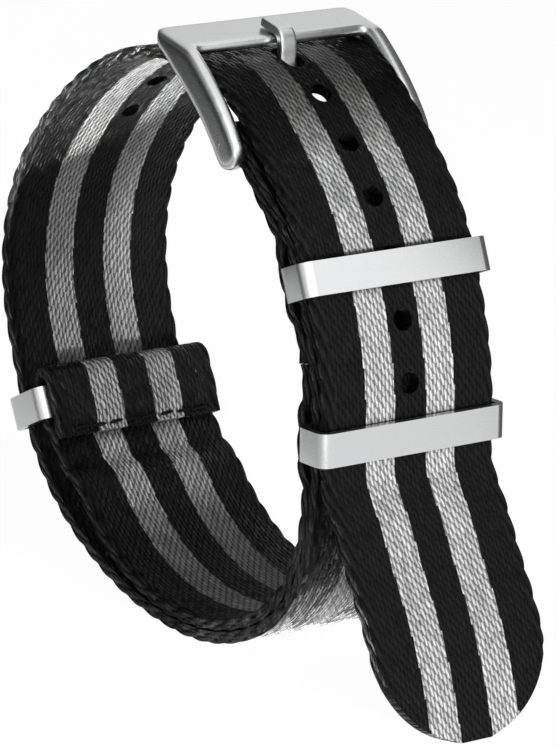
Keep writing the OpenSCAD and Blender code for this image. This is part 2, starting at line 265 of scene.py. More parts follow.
def points_at(distance, run, row):
    """Points of a row at one run, or at many."""
    return np.stack([np.interp(distance, run, row[:, k]) for k in (0, 1)], -1)


def place_on(row, distance):
    """Place and heading at a run along a row."""
    run, row = lengths(row), np.array(row)
    ahead = points_at(distance + LOOK_AROUND, run, row) - points_at(distance - LOOK_AROUND, run, row)
    return np.array([*points_at(distance, run, row), math.degrees(math.atan2(ahead[1], ahead[0]))])


inner_row = beside(front_row, [inner_pitch(p) for p in front_row])
upper_keeper_run = lengths(front_row)[2 * ARC_STEPS]
lower_keeper_run = lengths(front_row)[4 * ARC_STEPS]
butt_run = (upper_keeper_run + lower_keeper_run) / 2
at_butt = place_on(front_row, butt_run)


def past_butt(point):
    """How far past the two cut ends a point lies."""
    return (point - at_butt[:2]) @ direction(at_butt[2])


fold_over_row = [p for p in inner_row if past_butt(p) < -BUTT_GAP]
fold_over_row.append(moved(at_butt, -BUTT_GAP / 2, CLOSE_PITCH)[:2])
short_front_row = [p for p in inner_row if past_butt(p) > BUTT_GAP]
short_front_row.insert(0, moved(at_butt, BUTT_GAP / 2, CLOSE_PITCH)[:2])
round_the_pin = [round_pin(FOLD_HEADING - 270 + 180 * i / PIN_STEPS) for i in range(1, PIN_STEPS)]
main_row = fold_over_row[::-1] + round_the_pin + loop_row + tail_row[1:]
print("main strap's webbing in mm:", round(lengths(main_row)[-1], 1))

# %% [markdown]
# ## The short strap and its fold
# The short strap runs on inside the bottom of the loop and ends in a fold, which holds the watch keeper.
# The fold's places are given from the middle of that ring, along the loop and towards its inside, so
# the cloth passes the ring's bar with the same play as the solid does.

# %% The short strap
WATCH_KEEPER_SLACK = 2.1
FOLD_FOOT_GAP = 0.3
ROLL = 1.5
SEAM_BELOW_FOOT = 1.4
SEAM_TO_END = 0.7
SEAM_PULL = 0.3
bar_near = WEBBING + 3 * PLAY + WATCH_KEEPER_SLACK
bar_far = bar_near + BAND_WALL
fold_near = bar_near - PLAY - WEBBING / 2
fold_far = bar_far + PLAY + WEBBING / 2
fold_foot = -BAND / 2 - FOLD_FOOT_GAP
roll_top = BAND / 2 + ROLL
fold_top = roll_top - (fold_far - fold_near) / 2
seam = fold_foot - SEAM_BELOW_FOOT
seam_end = seam - SEAM_TO_END
seam_side = fold_far - SEAM_PULL
seam_inner_side = seam_side - CLOSE_PITCH


def in_fold(forward, inwards, turned):
    """A place given from the middle of the watch keeper."""
    return moved(at_watch_keeper, forward, inwards, turned)


short_floor = np.array([at_floor[0], WEBBING / 2 + CLOSE_PITCH, 360])
before_seam = in_fold(seam_end - 2, seam_inner_side + 0.5, -8)
fold_starts = in_fold(fold_top, fold_near, 0)
fold_ends = in_fold(fold_top, fold_far, 180)
short_row = (
    short_front_row
    + route(moved(at_front_foot, 0, CLOSE_PITCH), short_floor, place(0.704, 0.15, 406), before_seam)[1:]
    + route(before_seam, in_fold(seam, seam_inner_side, 2), in_fold(fold_foot, fold_near, 0),
            fold_starts)[1:]
    + route(fold_starts, in_fold(roll_top, (fold_near + fold_far) / 2, 90), fold_ends)[1:]
    + route(fold_ends, in_fold(fold_foot, fold_far, 180), in_fold(seam, seam_side, 180),
            in_fold(seam_end, seam_side, 180))[1:]
)

outline = np.concatenate([beside(main_row, WEBBING / 2), beside(main_row, -WEBBING / 2)])
MIDDLE = (outline[:, 0].min() + outline[:, 0].max()) / 2
main_length = lengths(main_row)[-1]
short_length = lengths(short_row)[-1]
print("short strap's webbing in mm:", round(short_length, 1), "middle of the part:", round(MIDDLE, 2))

# %% [markdown]
# ## Small helpers
# An operator acts on whatever is selected, so each step first deselects everything and then selects
# its own piece. Modifiers are applied at once, because a finished piece is plain mesh at the origin.

# %% Helpers
def only(piece):
    """Selects one piece alone and makes it active."""
    bpy.ops.object.select_all(action="DESELECT")
    piece.select_set(True)
    bpy.context.view_layer.objects.active = piece
    return piece


def edit(piece):
    """Opens a piece in edit mode and gives its mesh."""
    only(piece)
    bpy.ops.object.mode_set(mode="EDIT")
    return bmesh.from_edit_mesh(piece.data)


def leave_edit(piece):
    bmesh.update_edit_mesh(piece.data)
    bpy.ops.object.mode_set(mode="OBJECT")


def named(name):
    """Names the piece that was just added."""
    piece = bpy.context.object
    piece.name = piece.data.name = name
    return piece


def add(primitive, name, **values):
    """Deselects everything, adds a primitive by its operator and names it."""
    bpy.ops.object.select_all(action="DESELECT")
    primitive(**values)
    return named(name)


def settle(piece):
    """Puts a piece's place and turn into its mesh."""
    only(piece)
    bpy.ops.object.transform_apply(location=True, rotation=True, scale=True)
    return piece


def modify(piece, kind, **values):
    """Adds a modifier with its values and applies it."""
    only(piece)
    modifier = piece.modifiers.new(kind.title(), kind)
    for key, value in values.items():
        setattr(modifier, key, value)
    bpy.ops.object.modifier_apply(modifier=modifier.name)
    return piece


def spots(piece):
    """The points of a piece as a table, one row each."""
    table = np.empty(len(piece.data.vertices) * 3)
    piece.data.vertices.foreach_get("co", table)
    return table.reshape(-1, 3)


def move_spots(piece, table):
    piece.data.vertices.foreach_set("co", table.ravel())
    piece.data.update()


def report(piece):
    """Prints how many triangles a finished piece has."""
    print(piece.name + ":", sum(len(face.vertices) - 2 for face in piece.data.polygons), "triangles")


# %% [markdown]
# ## Webbing, made flat
# A narrow loom makes webbing as a flat band, and the maker then cuts, punches and sews it. The model
# follows that order. A grid of the real flat size is rounded at the tip and punched, given its
# thickness and soft edges, and only then laid on the route, so the cloth is never stretched and the
# weave is drawn in flat measures.

# %% Flat band
SELVAGE_PERIOD = 2.9
SELVAGE_DEPTH = 2.0
SELVAGE_SLANT = 1.05
EDGE_COLUMN = 0.22
MIDDLE_COLUMNS = 32
ROW_STEP = 0.42
half_width = WEBBING_WIDTH / 2
edge_columns = np.arange(0, SELVAGE_DEPTH, EDGE_COLUMN)
middle_columns = np.linspace(SELVAGE_DEPTH, WEBBING_WIDTH - SELVAGE_DEPTH, MIDDLE_COLUMNS)
columns = np.concatenate([edge_columns, middle_columns, WEBBING_WIDTH - edge_columns[::-1]]) - half_width
print("columns across the band:", len(columns))


def flat_band(name, length):
    """A grid of the band's flat size, finer along its edges."""
    band = add(bpy.ops.mesh.primitive_grid_add, name, size=1,
               x_subdivisions=len(columns) - 1, y_subdivisions=int(length / ROW_STEP))
    table = spots(band)
    column = np.rint((table[:, 0] + 0.5) * (len(columns) - 1)).astype(int)
    table[:, 0] = columns[column]
    table[:, 1] = (table[:, 1] + 0.5) * length
    move_spots(band, table)
    return band


def round_tip(band, length, radius, squareness=0.985):
    """Narrows the last rows into a half circle that never quite closes."""
    table = spots(band)
    past = np.clip((table[:, 1] - length + radius) / radius, 0, squareness)
    table[:, 0] *= np.sqrt(1 - past ** 2)
    move_spots(band, table)


def punch(band, at, radius, stretch=0, reach=0.75):
    """Opens a hole, or a slot with round ends, and moves its torn edge onto the outline."""
    mesh = edit(band)
    middle = Vector(at)

    def from_spine(vert):
        spine = Vector((middle.x, min(max(vert.co.y, middle.y - stretch / 2), middle.y + stretch / 2)))
        return vert.co.xy - spine

    for vert in mesh.verts:
        vert.select = from_spine(vert).length < radius
    mesh.select_flush_mode()
    bpy.ops.mesh.delete(type="VERT")
    for vert in mesh.verts:
        gap = from_spine(vert)
        if vert.is_boundary and gap.length < radius + reach:
            vert.co.xy += gap.normalized() * (radius - gap.length)
    leave_edit(band)


# %% [markdown]
# ## Thickness, selvage and the flat map
# The long edges of nylon webbing are selvages: thick yarns turn round them at a slant, one over the
# next, as a row of small bulges. They are real shape here, because they show against the light. The
# flat place of every point is kept as a UV map in millimetres, which goes on round the edge, so that
# one strand passes from face to face. A cut end is pressed flat, as a hot knife leaves it, and a seam
# draws the two faces together.

# %% Body of the cloth
TRIM = 0.5
CUT_END = 0.15
STRAND_LEAN = 1.5
STRAND_FULLNESS = 0.6


def selvage(across, run):
    """Height of the strands, 0 to 1, and how much of a selvage a place is."""
    depth = half_width - np.abs(across)
    share = np.clip(1 - depth / SELVAGE_DEPTH, 0, 1)
    phase = (run / SELVAGE_PERIOD - across * SELVAGE_SLANT) % 1
    phase = np.where(across > 0, phase, 1 - phase)
    strand = np.sin(math.pi * phase ** STRAND_LEAN) ** STRAND_FULLNESS
    return strand, share * share * (3 - 2 * share)


def round_edge(x, h):
    """Place across the cloth, measured from the outer face on round the edge."""
    on_edge = np.abs(x) > half_width - TRIM - 0.01
    return x + np.sign(x) * np.where(on_edge, WEBBING / 2 + h, 0)


def thicken(band):
    """Gives a band its thickness and round edges, flattens its cut end and maps it."""
    modify(band, "SOLIDIFY", thickness=WEBBING, offset=0, use_even_offset=True)
    modify(band, "BEVEL", width=TRIM, segments=4, limit_method="ANGLE", angle_limit=math.radians(50),
           use_clamp_overlap=True)
    table = spots(band)
    cut_end = table[:, 1] < TRIM
    table[cut_end, 1] *= CUT_END
    move_spots(band, table)
    flat_map = band.data.uv_layers.new(name="flat")
    loops = np.empty(len(band.data.loops), int)
    band.data.loops.foreach_get("vertex_index", loops)
    x, y, h = table.T
    flat_map.uv.foreach_set("vector", np.stack([round_edge(x, h), y], 1)[loops].ravel())


# %% Selvage, seam and route
RIM = 1.1
BULGE = 0.2
SWELL = 0.09
BULGE_FROM = 6
BULGE_LEVEL = 0.75
SWELL_LEVEL = 0.7
SEAM_REACH = 0.55
SEAM_SHARE = 0.25
SEAM_INSET = 1.2
FINE_STEP = 0.05
SOFTEN = 8
WAVE = 0.07
LONG_WAVE = 7.3
SHORT_WAVE = 3.1
CLOTH_CREASE = 60


def raise_selvage(band):
    """Pushes the strands of both edges outwards and apart."""
    table = spots(band)
    x, y, h = table.T
    strand, share = selvage(round_edge(x, h), y)
    rim = np.clip((np.abs(x) - half_width + RIM) / RIM, 0, 1)
    table[:, 0] = x + np.sign(x) * rim * BULGE * (strand - BULGE_LEVEL) * (np.abs(x) > BULGE_FROM)
    table[:, 2] = h + np.sign(h) * share * SWELL * (strand - SWELL_LEVEL)
    move_spots(band, table)


def pinch(band, at_run):
    """Draws the two faces together along a seam."""
    table = spots(band)
    near_seam = np.clip(1 - np.abs(table[:, 1] - at_run) / SEAM_REACH, 0, 1)
    table[:, 2] *= 1 - SEAM_SHARE * near_seam * (np.abs(table[:, 0]) < half_width - SEAM_INSET)
    move_spots(band, table)


def lay(band, row):
    """Lays the flat band on its route, in metres."""
    run = lengths(row)
    fine_run = np.arange(0, run[-1], FINE_STEP)
    keep = np.concatenate([[True], np.diff(run) > 1e-6])
    row, run = np.array(row)[keep], run[keep]
    centre = points_at(fine_run, run, row)
    window = np.ones(2 * SOFTEN + 1) / (2 * SOFTEN + 1)
    softened = np.stack([np.convolve(np.pad(centre[:, k], SOFTEN, "edge"), window, "valid")
                         for k in (0, 1)], 1)
    softened[:SOFTEN], softened[-SOFTEN:] = centre[:SOFTEN], centre[-SOFTEN:]
    normal = row_normals(softened)
    table = spots(band)
    x, y, h = table.T
    at = points_at(y, fine_run, softened)
    facing = points_at(y, fine_run, normal)
    drift = WAVE * (np.sin(y / LONG_WAVE) + 0.6 * np.sin(y / SHORT_WAVE + 1))
    table[:, 0] = (x + drift) * MM
    table[:, 1:] = (at + h[:, None] * facing - (MIDDLE, 0)) * MM
    move_spots(band, table)
    only(band)
    bpy.ops.object.shade_smooth_by_angle(angle=math.radians(CLOTH_CREASE))


# %% [markdown]
# ## The two straps
# The holes are one straight row, counted here from the loaded one, which lies where the tongue rises
# and is drawn out into a slot. A longer slot in the fold lets the tongue's eye reach the pin.

# %% Where the holes are
HOLE_RADIUS = 1.1
HOLE_PITCH = 6.1
HOLES_FRONT = 6
HOLES_BACK = 5
HOLE_STRETCH = 2.2
TONGUE_WIDTH = 1.9
TONGUE_RISE = 5.8
SLOT_SIDE = 0.35
SLOT_END = 1.6
AFTER_TOP = 20
main_run = lengths(main_row)
top_run = main_length - lengths(tail_row)[-1]


def run_at_depth(depth):
    """Run of the place on the outer tail that lies above a depth."""
    after_top = (main_run >= top_run) & (main_run < top_run + AFTER_TOP)
    return float(np.interp(-depth, -np.array(main_row)[after_top][:, 0], main_run[after_top]))


tongue_hole_run = run_at_depth(pin[0] + TONGUE_RISE)
print("run of the loaded hole:", round(tongue_hole_run, 2), "of", round(main_length, 1))

# %% Main strap
TIP_RADIUS = 10
main_strap = flat_band("main_strap_cloth", main_length)
round_tip(main_strap, main_length, TIP_RADIUS)
for number in range(-HOLES_BACK, HOLES_FRONT + 1):
    if number:
        punch(main_strap, (0, tongue_hole_run + number * HOLE_PITCH), HOLE_RADIUS)
punch(main_strap, (0, tongue_hole_run), HOLE_RADIUS, HOLE_STRETCH)
pin_run = lengths(fold_over_row + round_the_pin[:PIN_STEPS // 2])[-1]
punch(main_strap, (0, pin_run), TONGUE_WIDTH / 2 + SLOT_SIDE, 2 * (fold_radius + SLOT_END))
thicken(main_strap)
raise_selvage(main_strap)
lay(main_strap, main_row)
report(main_strap)

# %% Short strap
short_strap = flat_band("short_strap_cloth", short_length)
thicken(short_strap)
raise_selvage(short_strap)
pinch(short_strap, short_length - (seam - seam_end))
lay(short_strap, short_row)
report(short_strap)

# %% [markdown]
# ## Finishes as sums
# A weave is a repeated sum, so the nodes are written as sums too: each call adds one Math node and
# gives back its socket, which keeps a long pattern readable. A finish is such a tree with a shader at
# its end, and the world is one too.

# %% Node helpers
class Nodes:
    """A node tree, one call for one node. None keeps the node's own value."""

    def __init__(self, tree):
        self.nodes = tree.nodes
        self.links = tree.links

    def put(self, socket, value):
        if isinstance(value, bpy.types.NodeSocket):
            self.links.new(value, socket)
        else:
            socket.default_value = value

    def node(self, kind, *values, **settings):
        made = self.nodes.new("ShaderNode" + kind)
        for key, value in settings.items():
            setattr(made, key, value)
        for socket, value in zip(made.inputs, values):
            if value is not None:
                self.put(socket, value)
        return made

    def out(self, kind, *values, **settings):
        return self.node(kind, *values, **settings).outputs[0]

    def sum(self, operation, *values, clamp=False):
        return self.out("Math", *values, operation=operation, use_clamp=clamp)

    def times(self, a, b):
        return self.sum("MULTIPLY", a, b)

    def plus(self, a, b):
        return self.sum("ADD", a, b)

    def minus(self, a, b, clamp=False):
        return self.sum("SUBTRACT", a, b, clamp=clamp)

    def ramp(self, value, low, high, start=0.0, end=1.0, kind="SMOOTHSTEP"):
        return self.out("MapRange", value, low, high, start, end, interpolation_type=kind)


class Finish(Nodes):
    """A material with its shader."""

    def __init__(self, name):
        self.material = bpy.data.materials.new(name)
        self.material.use_nodes = True
        super().__init__(self.material.node_tree)
        self.shader = self.nodes["Principled BSDF"]

    def grey(self, value):
        return self.out("CombineColor", value, value, value)

    def shade(self, **values):
        for key, value in values.items():
            self.put(self.shader.inputs[key.replace("_", " ")], value)
        return self

    def bump(self, height, distance, strength=1.0):
        made = self.node("Bump")
        for key, value in (("Height", height), ("Distance", distance), ("Strength", strength)):
            self.put(made.inputs[key], value)
        return self.shade(Normal=made.outputs[0])


def wear(piece, material):
    """Gives a piece one material."""
    piece.data.materials.clear()
    piece.data.materials.append(material)


# %% [markdown]
# ## Nylon
# Seen close, the band is columns of short slanting floats, each a lens of fine filaments that catches
# the light, with a dark slit where one dives under the next. The columns lean a little, so the edge of
# a grey stripe is stepped like a saw. Each float is numbered on the flat map, and its number gives it
# a tone, a gloss and a tilt of its own, as yarns have.

# %% Weave
COLUMN = 0.44
COLUMN_DRIFT = 0.03
FLOAT = 1.05
FLOAT_SLANT = 0.45
HALF_FLOAT = 0.52
FLOAT_TAPER = 0.06
FLOAT_DIP = 0.3
STAGGER = 0.45
UNEVENNESS = 0.5
UNEVEN_ACROSS = 0.9
UNEVEN_ALONG = 0.7
TILT = 2.2
GLOSS_SHUFFLE = 7.0
TILT_SHUFFLE = 31.0
FILAMENTS = 7.0
FILAMENT_CHANGES = 2.2
FINE_NOISE = (None, 1.0, 2.0, 0.6)
nylon = Finish("nylon_weave")
flat = nylon.out("UVMap", uv_map="flat")
across, run, _ = nylon.node("SeparateXYZ", flat).outputs
maths, times, plus, minus = nylon.sum, nylon.times, nylon.plus, nylon.minus

uneven_seed = nylon.out("CombineXYZ", times(across, UNEVEN_ACROSS), times(run, UNEVEN_ALONG), 0.0)
uneven = nylon.out("TexNoise", uneven_seed, *FINE_NOISE)
drift = plus(times(run, COLUMN_DRIFT), times(uneven, UNEVENNESS))
column_place = maths("DIVIDE", plus(across, drift), COLUMN)
column_number = maths("FLOOR", column_place)
uneven_run = plus(run, times(uneven, UNEVENNESS))
float_place = plus(maths("DIVIDE", uneven_run, FLOAT), times(column_number, STAGGER))
float_number = maths("FLOOR", float_place)
in_float = minus(maths("FRACT", float_place), 0.5)
in_column = minus(minus(maths("FRACT", column_place), 0.5), times(in_float, FLOAT_SLANT))
toward_end = times(times(in_float, in_float), 4.0)
half_float = minus(HALF_FLOAT, times(toward_end, FLOAT_TAPER))
off_middle = maths("DIVIDE", in_column, half_float)
round_float = minus(1.0, times(off_middle, off_middle), clamp=True)
crown = times(round_float, minus(1.0, times(toward_end, FLOAT_DIP)))
float_seed = nylon.out("CombineXYZ", column_number, float_number, 0.0)
float_tone = nylon.out("TexWhiteNoise", float_seed, noise_dimensions="3D")
float_gloss = maths("FRACT", times(float_tone, GLOSS_SHUFFLE))
tilt_chance = minus(maths("FRACT", times(float_tone, TILT_SHUFFLE)), 0.5)
float_tilt = times(times(in_float, tilt_chance), TILT)

filament_seed = nylon.out("CombineXYZ", times(column_place, FILAMENTS), times(run, FILAMENT_CHANGES),
                          float_tone)
filament = nylon.out("TexNoise", filament_seed, *FINE_NOISE)
print("nodes of the floats:", len(nylon.nodes))

# %% Selvage strands
STRAND_MIDDLE = 0.08
STRAND_CURVE = 4.6
FILAMENT_HEIGHT = 0.3
from_edge = minus(half_width, maths("ABSOLUTE", across))
strand_place = minus(maths("DIVIDE", run, SELVAGE_PERIOD), times(across, SELVAGE_SLANT))
in_strand = times(minus(maths("FRACT", strand_place), 0.5), maths("SIGN", across))
strand_line = minus(in_strand, STRAND_MIDDLE)
strand_crown = minus(1.0, times(times(strand_line, strand_line), STRAND_CURVE), clamp=True)
selvage_share = nylon.ramp(from_edge, 1.5, 0.5)

height = plus(times(crown, minus(1.0, times(selvage_share, 0.65))),
              times(minus(strand_crown, 0.2), selvage_share))
full_height = plus(plus(height, float_tilt), times(filament, FILAMENT_HEIGHT))
print("nodes with the selvage:", len(nylon.nodes))

# %% [markdown]
# ## The colours of the yarns
# Two yarns are dyed, one black and one grey, and the loom carries the grey one in two stripes. Painted
# shade goes into the colour: the yarn is darker low in the weave, and darker still in a fold, between
# two layers and on the wall of a punched hole, which the Ambient Occlusion node finds.

# %% Yarn colours
BLACK_YARN = 0.0125
GREY_YARN = 0.7
STRIPE_INNER = 1.9
STRIPE_OUTER = 5.35
STRIPE_EDGE = 0.04
JAG = 3.0
JAG_DEPTH = 0.17
PAINTED_SHADE_REACH = 1.6
BUMP_DEPTH = 0.21
sawtooth = times(minus(0.5, maths("FRACT", maths("DIVIDE", run, JAG))), JAG_DEPTH)
from_middle = maths("ABSOLUTE", minus(across, sawtooth))
stripe = times(nylon.ramp(from_middle, STRIPE_INNER - STRIPE_EDGE, STRIPE_INNER + STRIPE_EDGE),
               nylon.ramp(from_middle, STRIPE_OUTER + STRIPE_EDGE, STRIPE_OUTER - STRIPE_EDGE))
# Painted shade: the colour is darker where the weave lies low.
painted_weave_shade = nylon.ramp(maths("POWER", maths("MAXIMUM", height, 0.0), 1.6), 0.0, 1.0, 0.3, 1.12, "LINEAR")
tone = times(painted_weave_shade, nylon.ramp(float_tone, 0.0, 1.0, 0.8, 1.15, "LINEAR"))
tone = times(tone, nylon.ramp(filament, 0.3, 0.7, 0.74, 1.16, "LINEAR"))
# Painted shade: the Ambient Occlusion node darkens the colour in folds, between layers and in holes.
painted_nook_shade = nylon.node("AmbientOcclusion", None, PAINTED_SHADE_REACH * MM, samples=8).outputs["AO"]
tone = times(tone, nylon.ramp(painted_nook_shade, 0.3, 0.9, 0.1, 1.0))
yarn = plus(BLACK_YARN, times(stripe, GREY_YARN - BLACK_YARN))
nylon.shade(Base_Color=nylon.grey(times(yarn, tone)), Specular_IOR_Level=0.05,
            Sheen_Weight=0.03, Sheen_Roughness=0.3,
            Roughness=nylon.ramp(float_gloss, 0.35, 0.9, 0.12, 0.5))
nylon.bump(full_height, BUMP_DEPTH * MM)
for band in (main_strap, short_strap):
    wear(band, nylon.material)
print("nylon nodes:", len(nylon.nodes))

# %% [markdown]
# ## The rings
# Each keeper is a flat steel band bent into a rectangle. A block is inset on the two sides where the
# strap runs through, the two insets are bridged into a tunnel, and the corners are rounded: first the
# four bends, with a large radius, then every edge with a small one, as tumbling leaves them.

# %% Ring
EDGE = 0.2
SHARP_FROM = 35
METAL_CREASE = 50
FACING = 0.9
RING_SIDE_GAP = 0.4
RING_CORNER = 1.2
ring_width = WEBBING_WIDTH + 2 * RING_SIDE_GAP + 2 * BAND_WALL


def into_place(piece, at):
    """Moves a piece made in millimetres to a place on the route, in metres."""
    there = Matrix.Translation((0, (at[0] - MIDDLE) * MM, at[1] * MM))
    turned = Matrix.Rotation(math.radians(at[2]), 4, "X")
    piece.data.transform(there @ turned @ Matrix.Scale(MM, 4))
    piece.data.update()
    return piece


def soften_edges(piece, width, segments=3):
    """Rounds the sharp edges of a metal piece."""
    modify(piece, "BEVEL", width=width, segments=segments, limit_method="ANGLE",
           angle_limit=math.radians(SHARP_FROM), use_clamp_overlap=True)
    only(piece)
    bpy.ops.object.shade_smooth_by_angle(angle=math.radians(METAL_CREASE))
    return modify(piece, "WEIGHTED_NORMAL", keep_sharp=True)


def inset_ends(piece, axis, thickness):
    """Opens a piece in edit mode and insets its two flat ends along an axis."""
    mesh = edit(piece)
    bpy.ops.mesh.select_all(action="DESELECT")
    bpy.ops.mesh.select_mode(type="FACE")
    for face in mesh.faces:
        face.select = abs(face.normal[axis]) > FACING
    bpy.ops.mesh.inset(thickness=thickness, use_individual=True)


def face_outwards():
    """Turns all faces outwards and leaves edit mode."""
    bpy.ops.mesh.select_all(action="SELECT")
    bpy.ops.mesh.normals_make_consistent(inside=False)
    bpy.ops.object.mode_set(mode="OBJECT")


def ring(name, at, outer_z, depth):
    """A rectangular ring of flat band, open along the strap."""
    piece = add(bpy.ops.mesh.primitive_cube_add, name, size=1)
    table = spots(piece) * (ring_width, BAND, depth) + (0, 0, outer_z + depth / 2)
    move_spots(piece, table)
    inset_ends(piece, 1, BAND_WALL)
    bpy.ops.mesh.bridge_edge_loops()
    bpy.ops.mesh.select_mode(type="EDGE")
    mesh = bmesh.from_edit_mesh(piece.data)
    for edge in mesh.edges:
        first, second = (vert.co for vert in edge.verts)
        along_band = abs(first.y - second.y) > BAND / 2
        edge.select = along_band and abs(first.x + second.x) / 2 > ring_width / 2 - 0.01
    mesh.select_flush_mode()
    bpy.ops.mesh.bevel(offset=RING_CORNER, segments=7)
    face_outwards()
    soften_edges(piece, EDGE)
    return into_place(piece, at)


front_ring_outer = -(WEBBING / 2 + CLOSE_PITCH + PLAY + BAND_WALL)
front_ring_depth = -front_ring_outer + WEBBING / 2 + PLAY + BAND_WALL
watch_ring_outer = -(WEBBING / 2 + PLAY) - BAND_WALL
upper_ring = ring("upper_ring_steel", at_upper_keeper, front_ring_outer, front_ring_depth)
lower_ring = ring("lower_ring_steel", at_lower_keeper, front_ring_outer, front_ring_depth)
watch_ring = ring("watch_ring_steel", at_watch_keeper, watch_ring_outer, bar_far - watch_ring_outer)
report(upper_ring)

# %% [markdown]
# ## The buckle
# From the side an arm is one smooth shape: a round end below the pin, a slope, and a taper into the
# flat bar. That outline is pulled across the strap once for each arm, and the bar is a second outline
# across both. The real frame is forged and tumbled until no edge is left, so the joined slabs are
# remade as one skin of small squares and smoothed over many rounds. The outline allows for what that
# takes off the arms.

# %% Outlines, measured from the pin
BAR_WIDTH = 5.4
BAR = 1.2
BAR_SLOPE = 8
ARM = 1.7
ARM_HEIGHT = 3.0
SMOOTHING_LOSS = 0.25
ARM_GAP = 0.25
FRAME_CORNER = 1.8
CORNER_MARGIN = 0.3
TAPER_FROM = 0.55
ARM_AT_BAR = 1.8
BAR_AIR = 0.3
ARM_STOPS_SHORT = 0.3
THIN_END_UNDER = 0.1
END_STEPS = 12
frame_inner = WEBBING_WIDTH + 2 * ARM_GAP
frame_outer = frame_inner + 2 * ARM
bar_near_edge = np.array([BAR_REACH - BAR_WIDTH / 2, at_top[1] - pin[1] + WEBBING / 2 + BAR_AIR + BAR])
bar_far_edge = bar_near_edge + BAR_WIDTH * direction(BAR_SLOPE)
bar_down = -inward(BAR_SLOPE)
arm_end = np.array([-1.1, -0.6, 52])
arm_middle = np.array([*(bar_near_edge + (-0.6, -2.1)), 33])
arm_far = bar_far_edge + ARM_AT_BAR / 2 * bar_down - CORNER_MARGIN * direction(BAR_SLOPE)


def slab(name, outline, low_x, high_x):
    """A flat shape in the side view, pulled across the strap."""
    piece = add(bpy.ops.mesh.primitive_circle_add, name, vertices=len(outline), fill_type="NGON")
    move_spots(piece, np.array([(low_x, *corner) for corner in outline]))
    edit(piece)
    bpy.ops.mesh.select_all(action="SELECT")
    bpy.ops.mesh.extrude_region_move(TRANSFORM_OT_translate={"value": (high_x - low_x, 0, 0)})
    face_outwards()
    return piece


def join_solid(piece, other, operation="UNION"):
    """Adds another solid to a piece, or cuts it away, and removes the other."""
    modify(piece, "BOOLEAN", operation=operation, object=other, solver="EXACT")
    bpy.data.objects.remove(other)
    return piece


def arm_outline():
    """An arm from the side: a round end, a slope, and a taper that meets the bar."""
    row = np.array(route(arm_end, arm_middle, np.array([*arm_far, BAR_SLOPE]), steps=7))
    normal = row_normals(row)
    share = np.clip((np.arange(len(row)) / (len(row) - 1) - TAPER_FROM) / (1 - TAPER_FROM), 0, 1)
    thin = ARM_AT_BAR / 2 - THIN_END_UNDER
    thick = ARM_HEIGHT / 2 + SMOOTHING_LOSS
    half = thin + (thick - thin) * (1 + np.cos(math.pi * share)) / 2
    upper = row + half[:, None] * normal
    lower = row - half[:, None] * normal
    upper = [p for p in upper if p[0] < bar_near_edge[0] - ARM_STOPS_SHORT]
    round_end = [arm_end[:2] + thick * direction(arm_end[2] - 90 - 180 * i / END_STEPS)
                 for i in range(1, END_STEPS)]
    bar_end = bar_far_edge + (ARM_AT_BAR - 0.02) * bar_down
    return [*upper, bar_near_edge, bar_far_edge, bar_end, *lower[-2::-1], *round_end]


bar_outline = [bar_near_edge, bar_far_edge, bar_far_edge + BAR * bar_down, bar_near_edge + BAR * bar_down]
print("frame across in mm:", frame_outer)

# %% Frame
FORGED_GRAIN = 0.14
FORGED_ROUNDS = 90
CUTTER_HEIGHT = 20
buckle = slab("buckle_frame_steel", bar_outline, -frame_outer / 2, frame_outer / 2)
for low, high in ((-frame_outer, -frame_inner), (frame_inner, frame_outer)):
    join_solid(buckle, slab("arm", arm_outline(), low / 2, high / 2))
corner_y = bar_far_edge[0] + CORNER_MARGIN - FRAME_CORNER
for side_of in (-1, 1):
    corner_x = side_of * (frame_outer / 2 - FRAME_CORNER)
    cutter = add(bpy.ops.mesh.primitive_cube_add, "cutter", size=1,
                 scale=(2 * FRAME_CORNER, 2 * FRAME_CORNER, CUTTER_HEIGHT),
                 location=(corner_x + side_of * FRAME_CORNER, corner_y + FRAME_CORNER, bar_near_edge[1]))
    settle(cutter)
    round_corner = add(bpy.ops.mesh.primitive_cylinder_add, "round", vertices=48, radius=FRAME_CORNER,
                       depth=1.5 * CUTTER_HEIGHT, location=(corner_x, corner_y, bar_near_edge[1]))
    join_solid(cutter, settle(round_corner), "DIFFERENCE")
    join_solid(buckle, cutter, "DIFFERENCE")
modify(buckle, "REMESH", mode="VOXEL", voxel_size=FORGED_GRAIN, use_smooth_shade=True)
modify(buckle, "SMOOTH", factor=0.5, iterations=FORGED_ROUNDS)
into_place(buckle, pin)
report(buckle)

# %% [markdown]
# ## Pin and tongue
# The pin is a turned bar whose thin ends sit in the arms, so only a small mark shows outside. The
# tongue is a flat strip: an eye round the pin, a rise through the loaded hole, and a short flat tip on
# the bar. It is rounded as the frame is.

# %% Pin
PIN_END_RADIUS = 0.32
PIN_IN_ARM = 0.3
PIN_MARK = 0.03
PIN_EDGE = 0.05
ACROSS = (0, math.pi / 2, 0)
steel_pin = add(bpy.ops.mesh.primitive_cylinder_add, "buckle_pin_steel", vertices=32,
                radius=PIN_RADIUS, depth=frame_inner + 2 * PIN_IN_ARM, rotation=ACROSS)
inset_ends(settle(steel_pin), 0, PIN_RADIUS - PIN_END_RADIUS)
mesh = bmesh.from_edit_mesh(steel_pin.data)
ends = [face for face in mesh.faces if face.select]
for face in bmesh.ops.extrude_discrete_faces(mesh, faces=ends)["faces"]:
    for vert in face.verts:
        vert.co.x += math.copysign(ARM - PIN_IN_ARM + PIN_MARK, vert.co.x)
leave_edit(steel_pin)
soften_edges(steel_pin, PIN_EDGE, 2)
into_place(steel_pin, pin)
report(steel_pin)

# %% Tongue
TONGUE = 0.9
TONGUE_REST = 0.12
TONGUE_TIP = 2.5
TONGUE_GRAIN = 0.09
TONGUE_ROUNDS = 20
eye_radius = PIN_RADIUS + PIN_FIT + TONGUE / 2
tongue_hole = place_on(main_row, tongue_hole_run)


